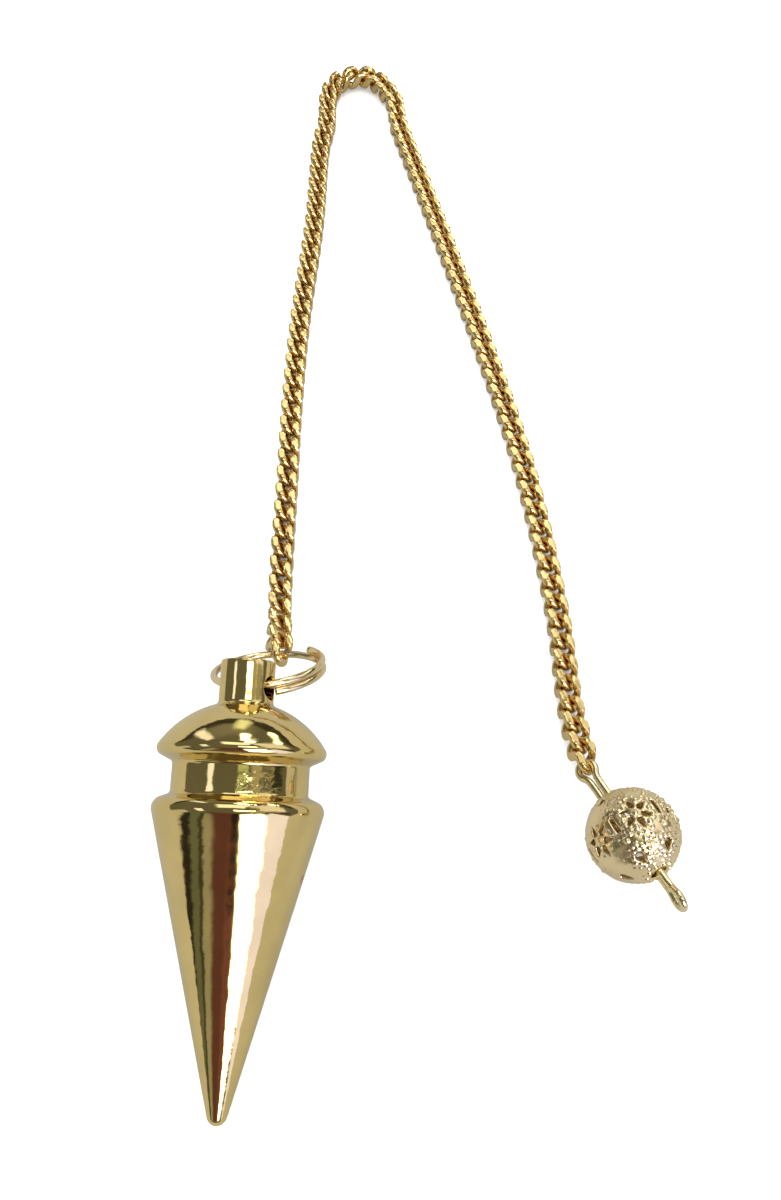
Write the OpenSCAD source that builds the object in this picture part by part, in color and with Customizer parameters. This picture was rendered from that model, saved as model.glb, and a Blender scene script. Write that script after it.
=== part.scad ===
// A pendulum lying on a table: a turned brass bob, a split ring through its stem, a curb chain and a
// filigree ball on an eye pin. The bob lies on the side of its cone, with its point towards -Y.

/* [Bob] */
// Widest diameter, at the shoulder above the cone
body_d = 17.2; // [16:0.1:20]
// Length from the point's end to the widest ring of the shoulder
body_len = 29.2; // [24:0.1:36]
// Radius of the rounded point
tip_r = 1; // [0.6:0.05:1.6]
// Rounding of the shoulder's outer edge
shoulder_r = 1.2; // [0.6:0.05:1.6]
// Slope of the shoulder's top face, in degrees from square to the axis
shoulder_slope = 22; // [10:1:35]
// Diameter of the collar between shoulder and cap
collar_d = 13.8; // [11:0.1:14.6]
// Height of the collar
collar_h = 3.1; // [1.5:0.1:5]
// Widest diameter of the domed cap, at its lip
cap_d = 17.1; // [16:0.1:19]
// Rounding of the cap's lip
lip_r = 0.85; // [0.3:0.05:0.9]
// Slope of the cap's underside, in degrees from square to the axis
under_slope = 25; // [20:1:40]
// Radius of the dome's curve
dome_r = 10; // [9.2:0.1:14]
// Diameter of the stem on the dome
stem_d = 5.6; // [4.8:0.1:7]
// Height of the stem above the dome
stem_h = 4.55; // [4.2:0.05:7]
// Rounding at the stem's foot, where it meets the dome
foot_r = 0.5; // [0.2:0.05:0.8]
// Rounding of the stem's end
stem_round = 0.25; // [0.1:0.05:0.5]
// Diameter of the cross bore through the stem
bore_d = 2.5; // [2.3:0.05:3]
// Distance from the stem's end to the cross bore's axis
bore_depth = 2.8; // [2.2:0.1:4]

/* [Split ring] */
// Outer diameter of the ring
ring_d = 12.4; // [10.5:0.1:15]
// Diameter of the ring's wire
ring_wire = 0.75; // [0.5:0.05:0.85]
// Turns of wire in the ring
ring_turns = 1.34; // [1.2:0.01:1.45]
// Gap between the turns where they lie side by side
ring_gap = 0.12; // [0.1:0.01:0.2]

/* [Chain] */
// Length of a link, outside
link_len = 4.45; // [4.15:0.05:5]
// Width of a link, outside
link_w = 3.15; // [3:0.05:3.45]
// Diameter of the link's wire
link_wire = 0.8; // [0.65:0.01:0.84]
// Turn of each end of a link out of its middle plane, in degrees
link_twist = 45; // [35:1:50]

/* [Filigree ball] */
// Diameter of the ball, without its granules
ball_d = 9.6; // [8:0.1:12]
// Wall of the ball
ball_wall = 0.6; // [0.4:0.05:1]
// Flowers round the ball's middle
flowers = 6; // [5:1:6]
// Radius of a flower, from its middle to the ends of its petals
flower_r = 1.95; // [1.5:0.05:2]
// Petals of a flower
petals = 6; // [5:1:7]
// Width of a pierced petal
petal_w = 0.66; // [0.4:0.02:0.7]
// Length of the pierced drops between the flowers
spandrel_len = 1.5; // [1:0.05:1.8]
// Width of the pierced drops between the flowers
spandrel_w = 0.9; // [0.5:0.05:1.1]
// Length of the slits between the flowers
slit_len = 1.9; // [0.8:0.05:2.2]
// Width of the slits between the flowers
slit_w = 0.45; // [0.25:0.05:0.6]
// Diameter of the granules
granule_d = 0.6; // [0.4:0.05:0.9]
// How far the granules stand out of the ball
granule_rise = 0.2; // [0.1:0.05:0.3]

/* [Eye pin] */
// Diameter of the pin's wire
pin_wire = 0.7; // [0.5:0.05:0.8]
// Outer width of the pin's eyes
eye_w = 2.6; // [2.5:0.05:3]
// Reach of the chain's eye beyond the ball
eye_out = 5.2; // [4.4:0.1:6.5]
// Reach of the free eye beyond the ball
free_out = 4.3; // [3:0.1:6]

/* [Fits] */
// Clearance between two links at their joint
link_clear = 0.25; // [0.2:0.01:0.3]
// Clearance between the end links and the wires that they hang on
end_clear = 0.19; // [0.15:0.01:0.25]
// Clearance between the split ring and the side of the cross bore that it bears on
seat_clear = 0.2; // [0.14:0.01:0.3]
// Clearance between the two legs of an eye
leg_gap = 0.16; // [0.1:0.01:0.25]
// Clearance of the eye's legs in the ball's holes
hole_clear = 0.15; // [0.1:0.01:0.3]

/* [Hidden] */
gold = [0.83, 0.66, 0.33];
pale_gold = [0.86, 0.76, 0.52];
curve_steps = 10;
ring_steps = 40;
link_sides = 5;
tube_sides = 8;
small_sides = 24;
link_bend_step = 45;
eye_bend = 120;
eye_bend_step = 20;
full_turn = 360;
// How far a cutting shape reaches past what it cuts
cut_past = 1;
$fn = 64;

// Where the pieces lie on the table, and which way they point
bore_place = [-17.7, -35.15];
bob_heading = 87.54;
bob_roll = -18;
ball_place = [21.9, -48.7];
pin_heading = 115.5;
pin_dip = 16;
ball_turn = 0;
ring_swing = 6;
ring_droop = 48.9;
ring_crossing = 250;
ring_overlap = 29;
ring_bearing = 39;
link_hang = 81;
rest_clear = 0.02;
start_roll = 30;
end_roll = -14;
// The chain's route: x, y, height above its rest on the table, and roll about its length. The first links
// hang down from the ring, and the rest lies flat, along one side and back along the other.
chain_route = [
    [-16.1, -18.4, 0, 0],
    [-16, -3.4, 0, 0],
    [-15.9, 9.7, 0, 0],
    [-15.4, 23.7, 0, 0],
    [-14.1, 41.7, 0, 0],
    [-13.7, 57.2, 0, 0],
    [-12.8, 62.9, 0.2, 0],
    [-12.9, 68.6, 0.3, 0],
    [-11.4, 72.5, 0.5, 0],
    [-10.3, 73.3, 0.5, 0],
    [-8, 73.8, 0.4, 0],
    [-5.6, 73.3, 0.9, 0],
    [-5, 72.4, 0.4, 0],
    [-2.4, 68.2, 0.4, 0],
    [-1.8, 63, 0.1, 0],
    [-0.4, 57.7, 0.1, 0],
    [4, 41.2, 0, 0],
    [9.7, 18.7, 0, 0],
    [14, -0.9, 0, 0],
    [16.6, -20.3, 0, 0],
    [17.3, -33.5, 0, -6]
];

// The bob's outline: centres of its roundings, along r and z from the point's end
shoulder_c = [body_d / 2 - shoulder_r, body_len];
point_lean = asin((tip_r - shoulder_r) / norm([shoulder_c.x, body_len - tip_r]));
half_angle = atan2(shoulder_c.x, body_len - tip_r) - point_lean;
shoulder_edge = shoulder_c + shoulder_r * [sin(shoulder_slope), cos(shoulder_slope)];
collar_z = shoulder_edge.y + (shoulder_edge.x - collar_d / 2) * tan(shoulder_slope);
under_z = collar_z + collar_h;
lip_c = [cap_d / 2 - lip_r,
    under_z + (cap_d / 2 - lip_r + lip_r * sin(under_slope) - collar_d / 2) * tan(under_slope)
        + lip_r * cos(under_slope)];
dome_z = lip_c.y - sqrt(pow(dome_r - lip_r, 2) - pow(lip_c.x, 2));
lip_angle = atan2(lip_c.y - dome_z, lip_c.x);
foot_c = [stem_d / 2 + foot_r, dome_z + sqrt(pow(dome_r + foot_r, 2) - pow(stem_d / 2 + foot_r, 2))];
foot_angle = atan2(foot_c.y - dome_z, foot_c.x);
stem_z = dome_z + sqrt(pow(dome_r, 2) - pow(stem_d / 2, 2)) + stem_h;
bore_z = stem_z - bore_depth;
bob_axis = [cos(half_angle) * cos(bob_heading), cos(half_angle) * sin(bob_heading), sin(half_angle)];
bore_c = [bore_place.x, bore_place.y, tip_r + (bore_z - tip_r) * bob_axis.z];
tip_c = bore_c - (bore_z - tip_r) * bob_axis;

// The split ring: its middle line's radius, the rise of a turn, and its three directions
ring_r = (ring_d - ring_wire) / 2;
ring_rise = ring_wire + ring_gap;
ring_x = [cos(ring_swing), sin(ring_swing), 0];
ring_y = [-sin(ring_swing) * cos(ring_droop), cos(ring_swing) * cos(ring_droop), -sin(ring_droop)];
ring_n = cross(ring_x, ring_y);
ring_start = ring_crossing + ring_overlap - full_turn;
ring_seat = (bore_d - ring_wire) / 2 - seat_clear;
ring_c = bore_c - ring_spoke(ring_crossing) - ring_n * ring_lift(ring_crossing)
    + ring_seat * (ring_n * sin(ring_bearing) - ring_y * cos(ring_bearing));

// The eyes' legs, and the ball's holes for them
leg = (pin_wire + leg_gap) / 2;
hole_r = leg + pin_wire / 2 + hole_clear;

// The ball's flowers, and its granules: one in each flower's middle, one between each two of its petals, two
// between each two flowers and a ring round each end hole. The ball rests on its lowest granule.
flower_step = full_turn / flowers;
petal_step = full_turn / petals;
petal_in = 0.9;
spandrel_lift = 46;
inner_r = ball_d / 2 - ball_wall;
granule_stand = ball_d / 2 + granule_rise - granule_d / 2;
end_granules = 9;
end_step = full_turn / end_granules;
end_row_out = 0.75;
end_lift = acos((hole_r + end_row_out * granule_d) / (ball_d / 2));
granules = concat(
    [for (i = [0:flowers - 1]) beside(i * flower_step, 0, 0)],
    [for (i = [0:flowers - 1], k = [0:petals - 1])
        beside(i * flower_step, (k + 0.5) * petal_step, petal_in + petal_w)],
    [for (i = [0:flowers - 1], lift = [-1, 1]) on_ball((i + 0.5) * flower_step, lift * spandrel_lift / 2)],
    [for (k = [0:end_granules - 1], lift = [-1, 1]) on_ball(k * end_step, lift * end_lift)]);
ball_rest = max([ball_d / 2, for (spot = granules) granule_stand * down_of(spot) + granule_d / 2]);

// The pin: its direction from the free eye to the chain's eye, and the eyes' centres along it
pin_dir = [cos(pin_heading) * cos(pin_dip), sin(pin_heading) * cos(pin_dip), -sin(pin_dip)];
ball_c = [ball_place.x, ball_place.y, ball_rest];
eye_r = (eye_w - pin_wire) / 2;
eye_at = ball_d / 2 + eye_out - eye_w / 2;
eye_c = ball_c + pin_dir * eye_at;
free_at = ball_d / 2 + free_out - eye_w / 2;

// A link's middle line: half its straight run and the radius of its round ends
link_r = (link_w - link_wire) / 2;
link_run = link_len / 2 - link_wire / 2 - link_r;
link_tip = link_run + link_r;
first_link = link_tip - (link_wire + ring_wire) / 2 - end_clear;
last_link = link_tip - (link_wire + pin_wire) / 2 - end_clear;
full_pitch = 2 * link_tip - link_wire - link_clear;
hook_start = ring_at(link_hang);
tail_row = chain_route[len(chain_route) - 1];
tail_end = [tail_row.x, tail_row.y, rest_height(tail_row[3])];
hook_end = eye_c - unit(eye_c - tail_end) * ((link_wire + pin_wire) / 2 + end_clear);
route_rows = concat([end_row(hook_start, start_roll)], chain_route, [end_row(hook_end, end_roll)]);
route = [for (row = smooth(route_rows, curve_steps))
    [row[0], row[1], max(0, row[2]) + rest_height(row[3]), row[3]]];
route_at = running(route);
route_len = route_at[len(route_at) - 1];
links = ceil((route_len - first_link - last_link) / full_pitch) + 1;
pitch = (route_len - first_link - last_link) / (links - 1);
route_table = [for (axis = [0:3]) [for (i = [0:len(route) - 1]) [route_at[i], route[i][axis]]]];

// The eyes' planes: the chain's eye lies square to the end wire that it holds, and the free eye is upright
last_seat = link_seat(links - 1);
hook_wire = last_seat[2] * cos(link_twist) - last_seat[3] * sin(link_twist);
eye_normal = unit(hook_wire - (hook_wire * pin_dir) * pin_dir);
eye_side = cross(eye_normal, pin_dir);
free_normal = unit(cross(pin_dir, [0, 0, 1]));
free_side = cross(free_normal, pin_dir);

function unit(v) = v / norm(v);
function arc(centre, r, from, to, steps) =
    [for (k = [0:steps]) let (a = from + (to - from) * k / steps) centre + r * [cos(a), sin(a)]];
// A row between p1 and p2 on the smooth curve through four rows
function curve_row(p0, p1, p2, p3, t) =
    (2 * p1 + (p2 - p0) * t + (2 * p0 - 5 * p1 + 4 * p2 - p3) * pow(t, 2)
        + (3 * p1 - p0 - 3 * p2 + p3) * pow(t, 3)) / 2;
function smooth(rows, steps) = let (last = len(rows) - 1) concat(
    [for (i = [0:last - 1], k = [0:steps - 1])
        curve_row(rows[max(i - 1, 0)], rows[i], rows[i + 1], rows[min(i + 2, last)], k / steps)],
    [rows[last]]);
function place_of(row) = [row[0], row[1], row[2]];
function running(rows) =
    [for (i = 0, at = 0; i < len(rows);
        at = at + (i + 1 < len(rows) ? norm(place_of(rows[i + 1]) - place_of(rows[i])) : 0), i = i + 1) at];
function rest_height(roll) = link_r * sin(min(90, abs(roll) + link_twist)) + link_wire / 2 + rest_clear;
function end_row(p, roll) = [p.x, p.y, p.z - rest_height(roll), roll];
function route_row(at) = [for (axis = [0:3]) lookup(at, route_table[axis])];
// A link's place: its middle, and its directions along the chain, across it and up
function link_seat(i) = let (
    at = first_link + i * pitch,
    half = min(pitch / 2, at, route_len - at),
    back = route_row(at - half),
    front = route_row(at + half),
    along = unit(place_of(front) - place_of(back)),
    side = unit(cross([0, 0, 1], along)),
    lift = cross(along, side),
    roll = (front[3] + back[3]) / 2,
    across = side * cos(roll) + lift * sin(roll),
    up = lift * cos(roll) - side * sin(roll))
    [place_of(front + back) / 2, along, across, up];
// Directions from the ball's middle, with the ball's ends along Z, and how far each one points down at rest
function on_ball(turn, lift) = [cos(lift) * cos(turn), cos(lift) * sin(turn), sin(lift)];
function beside(turn, side, away) = let (
    q = away / (ball_d / 2) * 180 / PI,
    p = [cos(q), sin(q) * sin(side), sin(q) * cos(side)])
    [p.x * cos(turn) - p.y * sin(turn), p.x * sin(turn) + p.y * cos(turn), p.z];
function down_of(v) = cos(pin_dip) * (v.x * cos(ball_turn) - v.y * sin(ball_turn)) + sin(pin_dip) * v.z;
function ring_lift(a) = ring_rise * (a - ring_start) / full_turn;
function ring_spoke(a) = ring_r * (cos(a) * ring_x + sin(a) * ring_y);
function ring_at(a) = ring_c + ring_spoke(a) + ring_n * ring_lift(a);

// Points of a tube's rings round a middle line, where side and lift are square to the line at each point
function tube_ring(p, side, lift, r, sides) =
    [for (k = [0:sides - 1]) let (a = full_turn * k / sides) p + r * (cos(a) * side + sin(a) * lift)];
function wall(rings, sides, closed) =
    [for (i = [0:rings - (closed ? 1 : 2)], k = [0:sides - 1]) let (
        j = (i + 1) % rings, m = (k + 1) % sides, a = i * sides + k, b = i * sides + m,
        c = j * sides + m, d = j * sides + k) each [[a, b, c], [a, c, d]]];
function end_cap(first, sides) = [for (k = [0:sides - 1]) first + k];
function back_cap(first, sides) = [for (k = [sides - 1:-1:0]) first + k];

module tube(rings, sides) {
    points = [for (ring = rings) each ring];
    last = (len(rings) - 1) * sides;
    polyhedron(points, concat(wall(len(rings), sides, false), [back_cap(0, sides)], [end_cap(last, sides)]),
        convexity = 6);
}

module bob() {
    outline = concat(
        arc([0, tip_r], tip_r, -90, -half_angle, 6),
        arc(shoulder_c, shoulder_r, -half_angle, 90 - shoulder_slope, 8),
        [[collar_d / 2, collar_z], [collar_d / 2, under_z]],
        arc(lip_c, lip_r, under_slope - 90, lip_angle, 6),
        arc([0, dome_z], dome_r, lip_angle, foot_angle, 10),
        arc(foot_c, foot_r, 180 + foot_angle, 180, 4),
        arc([stem_d / 2 - stem_round, stem_z - stem_round], stem_round, 0, 90, 3),
        [[0, stem_z]]);
    color(gold)
        translate(tip_c)
            rotate([0, 0, bob_heading - 90])
                rotate([half_angle - 90, 0, 0])
                    rotate([0, 0, bob_roll])
                        translate([0, 0, -tip_r])
                            difference() {
                                rotate_extrude() polygon(outline);
                                translate([0, 0, bore_z])
                                    rotate([0, 90, 0])
                                        cylinder(h = stem_d + 2 * cut_past, d = bore_d, center = true);
                            }
}

module split_ring() {
    steps = round(ring_steps * ring_turns);
    rings = [for (i = [0:steps]) let (
        a = ring_start + full_turn * ring_turns * i / steps,
        out = ring_spoke(a) / ring_r,
        along = -sin(a) * ring_x + cos(a) * ring_y + ring_n * ring_rise / (2 * PI * ring_r),
        lift = unit(cross(along, out)))
        tube_ring(ring_at(a), out, lift, ring_wire / 2, tube_sides)];
    color(pale_gold) tube([for (i = [steps:-1:0]) rings[i]], tube_sides);
}

// A link's middle line in its own directions, u along the chain, v across it and w up, with its lean
function link_turn(u) = -link_twist * max(-1, min(1, u / link_run));
function link_line() = concat(
    [for (a = [-90:link_bend_step:90]) [link_run + link_r * cos(a), link_r * sin(a)]], [[0, link_r]],
    [for (a = [90:link_bend_step:270]) [-link_run + link_r * cos(a), link_r * sin(a)]], [[0, -link_r]]);
function turned(p) = [p.x, p.y * cos(link_turn(p.x)), p.y * sin(link_turn(p.x))];

module chain_link(place) {
    flat_line = link_line();
    line = [for (p = flat_line) turned(p)];
    n = len(line);
    points = [for (i = [0:n - 1]) let (
        run = unit(line[(i + 1) % n] - line[(i + n - 1) % n]),
        turn = link_turn(flat_line[i].x),
        out = unit(cross([0, -sin(turn), cos(turn)], run)),
        up = cross(run, out))
        each [for (q = tube_ring(line[i], out, up, link_wire / 2, link_sides))
            place[0] + q.x * place[1] + q.y * place[2] + q.z * place[3]]];
    polyhedron(points, wall(n, link_sides, true), convexity = 4);
}

module chain() {
    color(gold)
        for (i = [0:links - 1])
            chain_link(link_seat(i));
}

// An eye's middle line from its tucked end, round the eye and back along the pin: distance out and sideways
function eye_line(at, tuck) = concat(
    [[tuck, -leg], [ball_d / 2, -leg]],
    [for (a = [-eye_bend:eye_bend_step:eye_bend]) [at + eye_r * cos(a), eye_r * sin(a)]],
    [[ball_d / 2, leg], [inner_r, leg]]);

module eye_pin() {
    near = [for (p = eye_line(eye_at, inner_r)) p.x * pin_dir + p.y * eye_side];
    far_line = eye_line(free_at, inner_r);
    far = [for (i = [len(far_line) - 1:-1:0]) -far_line[i].x * pin_dir + far_line[i].y * free_side];
    line = concat(near, [[0, 0, 0]], far);
    n = len(line);
    runs = [for (i = [0:n - 1]) unit(line[min(i + 1, n - 1)] - line[max(i - 1, 0)])];
    far_normal = eye_normal * free_normal < 0 ? -free_normal : free_normal;
    normals = concat(
        [for (p = near) eye_normal], [unit(eye_normal + far_normal)], [for (p = far) far_normal]);
    rings = [for (i = [0:n - 1]) let (
        out = unit(cross(runs[i], normals[i])),
        lift = cross(runs[i], out))
        tube_ring(ball_c + line[i], out, lift, pin_wire / 2, tube_sides)];
    color(pale_gold) tube([for (i = [n - 1:-1:0]) rings[i]], tube_sides);
}

// A pierced drop that points along +X: a circle about the middle, and its two tangents to the point
module drop(length, width) {
    tangent = acos(width / (2 * length - width));
    circle(d = width, $fn = small_sides);
    polygon([[0, 0], width / 2 * [cos(tangent), -sin(tangent)], [length - width / 2, 0],
        width / 2 * [cos(tangent), sin(tangent)]]);
}

module filigree_ball() {
    color(pale_gold)
        translate(ball_c)
            rotate([0, 0, pin_heading])
                rotate([0, 90 + pin_dip, 0])
                    rotate([0, 0, ball_turn]) {
                        difference() {
                            sphere(d = ball_d);
                            sphere(r = inner_r);
                            cylinder(h = ball_d + 2 * cut_past, r = hole_r, center = true);
                            for (i = [0:flowers - 1])
                                rotate([0, 0, i * flower_step]) {
                                    petals();
                                    rotate([0, 0, flower_step / 2]) spandrels();
                                }
                        }
                        for (spot = granules)
                            translate(spot * granule_stand) sphere(d = granule_d, $fn = small_sides);
                    }
}

// The petals pierced round a flower's middle
module petals() {
    for (k = [0:petals - 1])
        pierce(0) rotate([0, 0, k * petal_step])
            translate([petal_in, 0]) drop(flower_r - petal_in + petal_w / 2, petal_w);
}

// The openings between two flowers: one towards each end of the ball and a slit across the middle
module spandrels() {
    for (lift = [-1, 1])
        pierce(lift * spandrel_lift) rotate([0, 0, lift < 0 ? 180 : 0]) drop(spandrel_len, spandrel_w);
    pierce(0) square([slit_len, slit_w], center = true);
}

// Cuts a flat shape through the wall where the direction lifted by an angle from the middle meets it. The
// shape's +X points towards the ball's end.
module pierce(lift) {
    rotate([0, -lift, 0])
        translate([inner_r - cut_past, 0, 0])
            rotate([0, 90, 0])
                rotate([0, 0, 180])
                    linear_extrude(ball_wall + 2 * cut_past) children();
}

bob();
split_ring();
chain();
eye_pin();
filigree_ball();
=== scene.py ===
import math
from types import SimpleNamespace as Sizes

import bpy
import numpy as np
from mathutils import Matrix, Vector


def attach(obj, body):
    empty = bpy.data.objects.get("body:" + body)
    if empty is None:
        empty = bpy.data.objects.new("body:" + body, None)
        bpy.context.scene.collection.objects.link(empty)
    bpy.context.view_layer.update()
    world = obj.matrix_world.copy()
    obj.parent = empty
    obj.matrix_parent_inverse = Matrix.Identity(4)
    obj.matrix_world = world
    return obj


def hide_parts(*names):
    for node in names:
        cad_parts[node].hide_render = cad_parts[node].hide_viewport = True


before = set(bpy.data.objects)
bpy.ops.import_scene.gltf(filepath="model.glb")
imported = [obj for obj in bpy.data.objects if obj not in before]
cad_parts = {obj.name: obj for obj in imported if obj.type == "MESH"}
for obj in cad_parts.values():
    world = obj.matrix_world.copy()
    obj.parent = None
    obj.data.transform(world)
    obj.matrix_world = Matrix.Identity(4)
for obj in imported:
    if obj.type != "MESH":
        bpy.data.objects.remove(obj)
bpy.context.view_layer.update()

# Sizes in millimetres and angles in degrees, the same as the part's own
MM = 0.001
BOB = Sizes(body_d=17.2, body_len=29.2, tip_r=1.0, shoulder_r=1.2, shoulder_slope=22, collar_d=13.8,
            collar_h=3.1, cap_d=17.1, lip_r=0.85, under_slope=25, dome_r=10, stem_d=5.6, stem_h=4.55,
            foot_r=0.5, stem_round=0.25, bore_d=2.5, bore_depth=2.8, heading=87.54, roll=-18,
            bore_x=-17.7, bore_y=-35.15)
RING = Sizes(d=12.4, wire=0.75, turns=1.34, gap=0.12, swing=6, droop=48.9, crossing=250, overlap=29,
             bearing=39, seat_clear=0.2)
LINK = Sizes(length=4.45, width=3.15, wire=0.8, twist=45, clear=0.25, end_clear=0.19, rest_clear=0.02)
PIN = Sizes(wire=0.7, eye_w=2.6, eye_out=5.2, free_out=4.3, leg_gap=0.16, heading=115.5, dip=16)
BALL = Sizes(d=9.6, wall=0.6, flowers=6, flower_r=1.95, petals=6, petal_w=0.66, petal_in=0.9, drop_len=1.5,
             drop_w=0.9, drop_lift=46, slit_len=1.9, slit_w=0.45, granule_d=0.6, granule_rise=0.2,
             hole_clear=0.15, end_granules=9, x=21.9, y=-48.7)
LINK_HANG = 81
START_ROLL = 30
END_ROLL = -14
CURVE_STEPS = 10
# The chain's route: x, y, height above its rest on the table, and roll about its length
CHAIN_ROUTE = [
    [-16.1, -18.4, 0, 0],
    [-16, -3.4, 0, 0],
    [-15.9, 9.7, 0, 0],
    [-15.4, 23.7, 0, 0],
    [-14.1, 41.7, 0, 0],
    [-13.7, 57.2, 0, 0],
    [-12.8, 62.9, 0.2, 0],
    [-12.9, 68.6, 0.3, 0],
    [-11.4, 72.5, 0.5, 0],
    [-10.3, 73.3, 0.5, 0],
    [-8, 73.8, 0.4, 0],
    [-5.6, 73.3, 0.9, 0],
    [-5, 72.4, 0.4, 0],
    [-2.4, 68.2, 0.4, 0],
    [-1.8, 63, 0.1, 0],
    [-0.4, 57.7, 0.1, 0],
    [4, 41.2, 0, 0],
    [9.7, 18.7, 0, 0],
    [14, -0.9, 0, 0],
    [16.6, -20.3, 0, 0],
    [17.3, -33.5, 0, -6],
]

# Colours are linear
BOB_GOLD = (0.80, 0.62, 0.27)
RING_GOLD = (0.86, 0.70, 0.42)
CHAIN_GOLD = (0.88, 0.65, 0.28)
PIN_GOLD = (0.90, 0.78, 0.48)
BALL_GOLD = (0.93, 0.75, 0.46)
# Painted shade: the brown that darkens the links' inner sides, where shade falls between the links
INNER_PAINTED_SHADE = (0.62, 0.33, 0.09)


def sin(degrees):
    return math.sin(math.radians(degrees))


def cos(degrees):
    return math.cos(math.radians(degrees))


def unit(v):
    v = np.asarray(v, float)
    return v / np.linalg.norm(v, axis=-1, keepdims=True)


def arc(centre, r, start, end, steps):
    """Points of an arc in the plane, from one angle to another."""
    a = np.radians(np.linspace(start, end, steps + 1))
    return np.asarray(centre, float) + r * np.stack([np.cos(a), np.sin(a)], 1)


def fillet(before, corner, after, r, steps):
    """Points of the arc of radius r that rounds a corner of an outline."""
    corner = np.asarray(corner, float)
    back = unit(np.asarray(before) - corner)
    on = unit(np.asarray(after) - corner)
    half = math.acos(float(np.clip(back @ on, -1, 1))) / 2
    centre = corner + unit(back + on) * r / math.sin(half)
    first = corner + back * r / math.tan(half) - centre
    last = corner + on * r / math.tan(half) - centre
    a0 = math.atan2(first[1], first[0])
    turn = (math.atan2(last[1], last[0]) - a0 + math.pi) % (2 * math.pi) - math.pi
    a = a0 + turn * np.linspace(0, 1, steps + 1)
    return centre + r * np.stack([np.cos(a), np.sin(a)], 1)


def mesh_piece(name, points, faces):
    """A smooth-shaded mesh object from points in millimetres and faces of one size."""
    points = np.asarray(points, np.float32).reshape(-1, 3) * MM
    mesh = bpy.data.meshes.new(name)
    mesh.from_pydata(points.tolist(), [], faces)
    mesh.validate()
    mesh.shade_smooth()
    piece = bpy.data.objects.new(name, mesh)
    bpy.context.scene.collection.objects.link(piece)
    return piece


def wall(rings, sides, closed):
    """Quads between neighbouring rings of points."""
    i = np.arange(rings if closed else rings - 1)[:, None]
    k = np.arange(sides)[None, :]
    j = (i + 1) % rings
    m = (k + 1) % sides
    quads = np.stack([i * sides + k, i * sides + m, j * sides + m, j * sides + k], -1)
    return quads.reshape(-1, 4).tolist()


def circle_of(sides, r):
    a = np.arange(sides) * 2 * np.pi / sides
    return r * np.cos(a), r * np.sin(a)


# The middle ring of a cut end's rounding, as a share of it, and a direction that no wire starts in
BEVEL_STEP = 0.3
SKEW = (0.3, 0.5, 0.81)


def sweep(line, r, sides, bevel):
    """A round wire along an open line, with slightly rounded cut ends: its points and faces."""
    line = np.asarray(line, float)
    run = unit(np.gradient(line, axis=0))
    side = [unit(np.cross(run[0], SKEW))]
    for step in run[1:]:
        side.append(unit(side[-1] - (side[-1] @ step) * step))
    side = np.array(side)
    lift = np.cross(run, side)
    x, y = circle_of(sides, 1.0)
    last = len(line) - 1
    step = BEVEL_STEP * bevel
    rings = [(0, r - bevel, 0.0), (0, r - step, step)]
    rings += [(i, r, bevel if i == 0 else 0.0) for i in range(last)]
    rings += [(last, r, -bevel), (last, r - step, -step), (last, r - bevel, 0.0)]
    points = []
    for i, size, inset in rings:
        centre = line[i] + run[i] * inset
        points.append(centre + size * (x[:, None] * side[i] + y[:, None] * lift[i]))
    count = len(points)
    points = np.concatenate(points)
    faces = wall(count, sides, False)
    faces.append(list(range(sides))[::-1])
    faces.append([(count - 1) * sides + k for k in range(sides)])
    return points, faces


def chaikin(line, times):
    """Rounds the corners of an open line and keeps its ends."""
    for _ in range(times):
        a = line[:-1] * 0.75 + line[1:] * 0.25
        b = line[:-1] * 0.25 + line[1:] * 0.75
        line = np.concatenate([line[:1], np.stack([a, b], 1).reshape(-1, 3), line[-1:]])
    return line


# How the bob's outline is divided, and what is rounded in it that the part leaves sharp
STEPS = Sizes(tip=12, cone=60, shoulder=20, collar=6, lip=14, dome=32, foot=8, stem=8, stem_round=6)
FILLET_STEPS = 6
COLLAR_FILLET = 0.4
COLLAR_MARGIN = 0.12
LATHE_SIDES = 192
# The bore's cutter, with its reach as a share of the stem, and the softened rim that it leaves
BORE_SIDES = 96
CUTTER_REACH = 0.75
RIM_WIDTH = 0.07
RIM_ANGLE = 45
# The rounding of a wire's cut end, and the angles beyond which an edge is drawn sharp
CUT_BEVEL = 0.05
BOB_SHARP = 32
WIRE_SHARP = 50
LINK_SHARP = 24


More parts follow.
